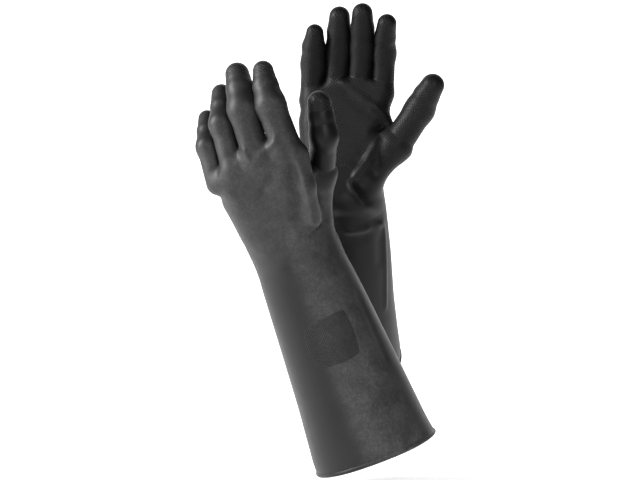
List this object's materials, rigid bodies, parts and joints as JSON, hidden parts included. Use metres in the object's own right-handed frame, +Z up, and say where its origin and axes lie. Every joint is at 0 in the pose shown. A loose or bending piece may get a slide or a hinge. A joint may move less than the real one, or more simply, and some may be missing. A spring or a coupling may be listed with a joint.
{
  "type": "pair of electrical insulating gloves",
  "caption": "Pair of long flared rubber insulating gauntlets held upright, with a rolled cuff edge, a blank marking panel and textured grip on palms and fingertips.",
  "frame": {"origin": "centre of the left glove's cuff mouth, where a forearm or a test clamp enters", "axes": "+Z up, towards the fingertips; +X to the viewer's right, towards both thumbs; -Y towards the viewer, who sees the left glove's back and the right glove's palm"},
  "size_m": [0.2348, 0.3353, 0.4549],
  "materials": {
    "rubber": "satin",
    "rubber_grip": "diamond textured",
    "rubber_bead": "satin",
    "rubber_panel": "stippled matte"
  },
  "bodies": {
    "left_gauntlet": {"left_gauntlet": "rubber", "left_cuff_bead": "rubber_bead", "left_marking_panel": "rubber_panel"},
    "left_hand": {"left_hand": "rubber"},
    "left_thumb_base": {"left_thumb_base": "rubber"},
    "left_thumb_tip": {"left_thumb_tip": "rubber_grip"},
    "left_index_base": {"left_index_base": "rubber"},
    "left_index_tip": {"left_index_tip": "rubber_grip"},
    "left_middle_base": {"left_middle_base": "rubber"},
    "left_middle_tip": {"left_middle_tip": "rubber_grip"},
    "left_ring_base": {"left_ring_base": "rubber"},
    "left_ring_tip": {"left_ring_tip": "rubber_grip"},
    "left_little_base": {"left_little_base": "rubber"},
    "left_little_tip": {"left_little_tip": "rubber_grip"},
    "right_gauntlet": {"right_gauntlet": "rubber", "right_cuff_bead": "rubber_bead", "right_marking_panel": "rubber_panel"},
    "right_hand": {"right_hand": "rubber"},
    "right_thumb_base": {"right_thumb_base": "rubber"},
    "right_thumb_tip": {"right_thumb_tip": "rubber_grip"},
    "right_index_base": {"right_index_base": "rubber"},
    "right_index_tip": {"right_index_tip": "rubber_grip"},
    "right_middle_base": {"right_middle_base": "rubber"},
    "right_middle_tip": {"right_middle_tip": "rubber_grip"},
    "right_ring_base": {"right_ring_base": "rubber"},
    "right_ring_tip": {"right_ring_tip": "rubber_grip"},
    "right_little_base": {"right_little_base": "rubber"},
    "right_little_tip": {"right_little_tip": "rubber_grip"}
  },
  "joints": [
    {"name": "left_wrist_flex", "type": "hinge", "parent": "left_gauntlet", "child": "left_hand", "pos_m": [-0.07731, -0.01141, 0.20351], "axis": [-0.8929, 0.3152, -0.3215], "range_deg": [-10, 40], "stiffness_Nm_per_rad": 2.5},
    {"name": "left_index_knuckle", "type": "hinge", "parent": "left_hand", "child": "left_index_base", "pos_m": [-0.08689, -0.07026, 0.28192], "axis": [-0.9218, 0.2782, -0.2699], "range_deg": [-34, 46], "stiffness_Nm_per_rad": 0.15},
    {"name": "left_index_middle_joint", "type": "hinge", "parent": "left_index_base", "child": "left_index_tip", "pos_m": [-0.09905, -0.07374, 0.31987], "axis": [-0.9218, 0.2782, -0.2699], "range_deg": [-25, 45], "stiffness_Nm_per_rad": 0.08},
    {"name": "left_middle_knuckle", "type": "hinge", "parent": "left_hand", "child": "left_middle_base", "pos_m": [-0.10966, -0.06426, 0.27639], "axis": [-0.9218, 0.2782, -0.2699], "range_deg": [-37, 43], "stiffness_Nm_per_rad": 0.15},
    {"name": "left_middle_middle_joint", "type": "hinge", "parent": "left_middle_base", "child": "left_middle_tip", "pos_m": [-0.12217, -0.06584, 0.3175], "axis": [-0.9218, 0.2782, -0.2699], "range_deg": [-27, 43], "stiffness_Nm_per_rad": 0.08},
    {"name": "left_ring_knuckle", "type": "hinge", "parent": "left_hand", "child": "left_ring_base", "pos_m": [-0.12957, -0.0552, 0.26655], "axis": [-0.9218, 0.2782, -0.2699], "range_deg": [-44, 36], "stiffness_Nm_per_rad": 0.15},
    {"name": "left_ring_middle_joint", "type": "hinge", "parent": "left_ring_base", "child": "left_ring_tip", "pos_m": [-0.14014, -0.0519, 0.30603], "axis": [-0.9218, 0.2782, -0.2699], "range_deg": [-32, 38], "stiffness_Nm_per_rad": 0.08},
    {"name": "left_little_knuckle", "type": "hinge", "parent": "left_hand", "child": "left_little_base", "pos_m": [-0.14601, -0.04331, 0.25262], "axis": [-0.9218, 0.2782, -0.2699], "range_deg": [-45, 35], "stiffness_Nm_per_rad": 0.15},
    {"name": "left_little_middle_joint", "type": "hinge", "parent": "left_little_base", "child": "left_little_tip", "pos_m": [-0.15485, -0.03991, 0.28632], "axis": [-0.9218, 0.2782, -0.2699], "range_deg": [-32, 38], "stiffness_Nm_per_rad": 0.08},
    {"name": "left_thumb_root", "type": "hinge", "parent": "left_hand", "child": "left_thumb_base", "pos_m": [-0.05142, -0.04433, 0.25487], "axis": [-0.9971, 0.024, 0.0723], "range_deg": [-12, 30], "stiffness_Nm_per_rad": 0.18},
    {"name": "left_thumb_joint", "type": "hinge", "parent": "left_thumb_base", "child": "left_thumb_tip", "pos_m": [-0.04992, -0.07282, 0.28501], "axis": [-0.9797, 0.1779, -0.0929], "range_deg": [-20, 35], "stiffness_Nm_per_rad": 0.08},
    {"name": "right_wrist_flex", "type": "hinge", "parent": "right_gauntlet", "child": "right_hand", "pos_m": [-0.02961, 0.07409, 0.25891], "axis": [0.9794, -0.1893, -0.0704], "range_deg": [-10, 25], "stiffness_Nm_per_rad": 2.5},
    {"name": "right_index_knuckle", "type": "hinge", "parent": "right_hand", "child": "right_index_base", "pos_m": [0.01043, 0.0621, 0.34811], "axis": [0.9728, -0.1848, -0.1397], "range_deg": [-24, 56], "stiffness_Nm_per_rad": 0.15},
    {"name": "right_index_middle_joint", "type": "hinge", "parent": "right_index_base", "child": "right_index_tip", "pos_m": [0.01278, 0.04665, 0.38493], "axis": [0.9728, -0.1848, -0.1397], "range_deg": [-20, 50], "stiffness_Nm_per_rad": 0.08},
    {"name": "right_middle_knuckle", "type": "hinge", "parent": "right_hand", "child": "right_middle_base", "pos_m": [-0.0129, 0.06647, 0.35279], "axis": [0.9728, -0.1848, -0.1397], "range_deg": [-24, 56], "stiffness_Nm_per_rad": 0.15},
    {"name": "right_middle_middle_joint", "type": "hinge", "parent": "right_middle_base", "child": "right_middle_tip", "pos_m": [-0.01037, 0.04986, 0.39237], "axis": [0.9728, -0.1848, -0.1397], "range_deg": [-20, 50], "stiffness_Nm_per_rad": 0.08},
    {"name": "right_ring_knuckle", "type": "hinge", "parent": "right_hand", "child": "right_ring_base", "pos_m": [-0.03639, 0.07115, 0.35148], "axis": [0.9728, -0.1848, -0.1397], "range_deg": [-19, 61], "stiffness_Nm_per_rad": 0.15},
    {"name": "right_ring_middle_joint", "type": "hinge", "parent": "right_ring_base", "child": "right_ring_tip", "pos_m": [-0.03319, 0.0586, 0.39038], "axis": [0.9728, -0.1848, -0.1397], "range_deg": [-17, 53], "stiffness_Nm_per_rad": 0.08},
    {"name": "right_little_knuckle", "type": "hinge", "parent": "right_hand", "child": "right_little_base", "pos_m": [-0.05936, 0.07601, 0.34412], "axis": [0.9728, -0.1848, -0.1397], "range_deg": [-19, 61], "stiffness_Nm_per_rad": 0.15},
    {"name": "right_little_middle_joint", "type": "hinge", "parent": "right_little_base", "child": "right_little_tip", "pos_m": [-0.05663, 0.0653, 0.37733], "axis": [0.9728, -0.1848, -0.1397], "range_deg": [-18, 52], "stiffness_Nm_per_rad": 0.08},
    {"name": "right_thumb_root", "type": "hinge", "parent": "right_hand", "child": "right_thumb_base", "pos_m": [0.02071, 0.05577, 0.29795], "axis": [0.7782, -0.1246, -0.6156], "range_deg": [-12, 30], "stiffness_Nm_per_rad": 0.18},
    {"name": "right_thumb_joint", "type": "hinge", "parent": "right_thumb_base", "child": "right_thumb_tip", "pos_m": [0.04472, 0.04586, 0.33031], "axis": [0.8166, -0.1409, -0.5597], "range_deg": [-20, 35], "stiffness_Nm_per_rad": 0.08},
    {"name": "gloves_apart", "type": "slide", "parent": "left_gauntlet", "child": "right_gauntlet", "axis": [1, 0, 0], "range_m": [0, 0.25]}
  ]
}
